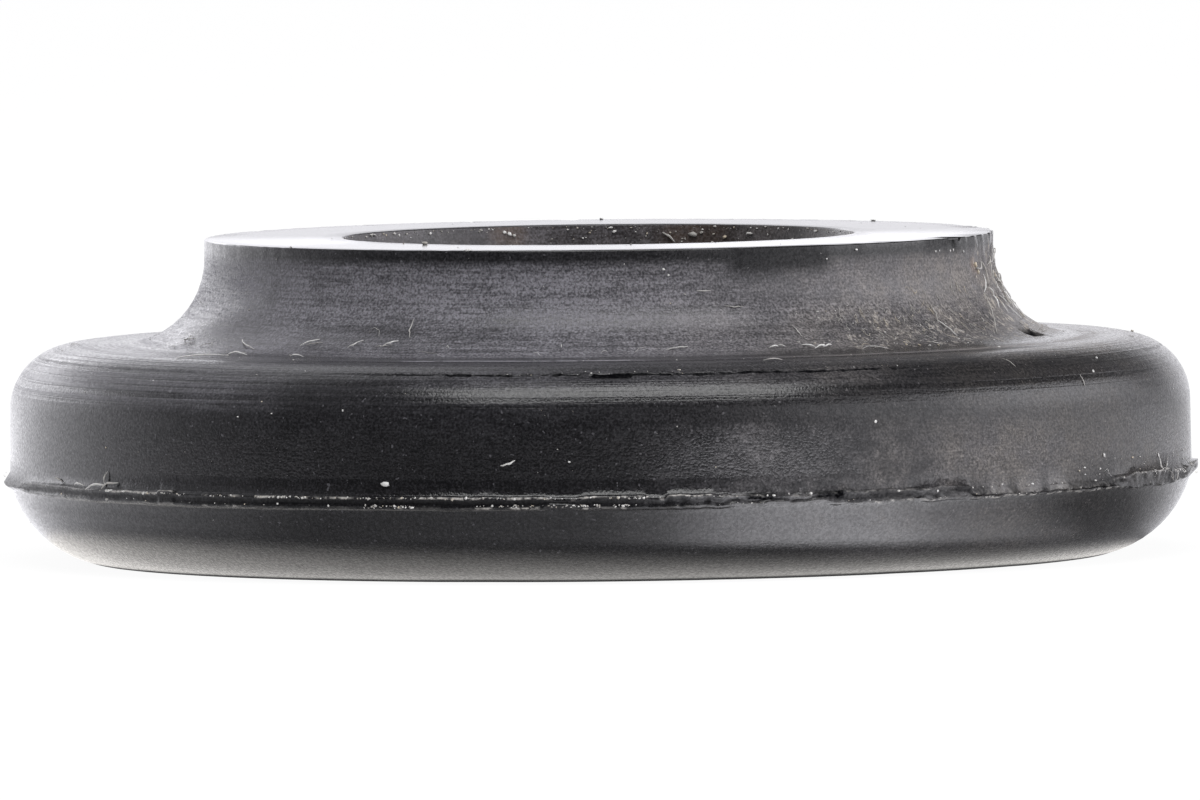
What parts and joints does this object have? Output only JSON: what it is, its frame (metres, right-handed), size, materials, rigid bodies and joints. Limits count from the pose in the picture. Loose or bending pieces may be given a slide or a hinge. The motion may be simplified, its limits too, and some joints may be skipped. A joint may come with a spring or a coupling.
{
  "type": "sealing washer",
  "caption": "Flanged rubber sealing washer moulded in one piece: a short neck on a thick round flange with a rounded shoulder, parting-line flash and a plain through bore.",
  "frame": {"origin": "centre of the flat seat, on the bore's axis", "axes": "+Z along the bore's axis, from the seat up through the flange to the neck; X and Y lie in the seat and are interchangeable"},
  "size_m": [0.0242, 0.0242, 0.0065],
  "materials": {
    "rubber": "dull moulded black rubber, dusty, with fine turning marks from the mould",
    "lint": "pale lint fibres and grains of dust that cling to the rubber"
  },
  "bodies": {
    "root": {"sealing_washer": "rubber"}
  },
  "joints": []
}
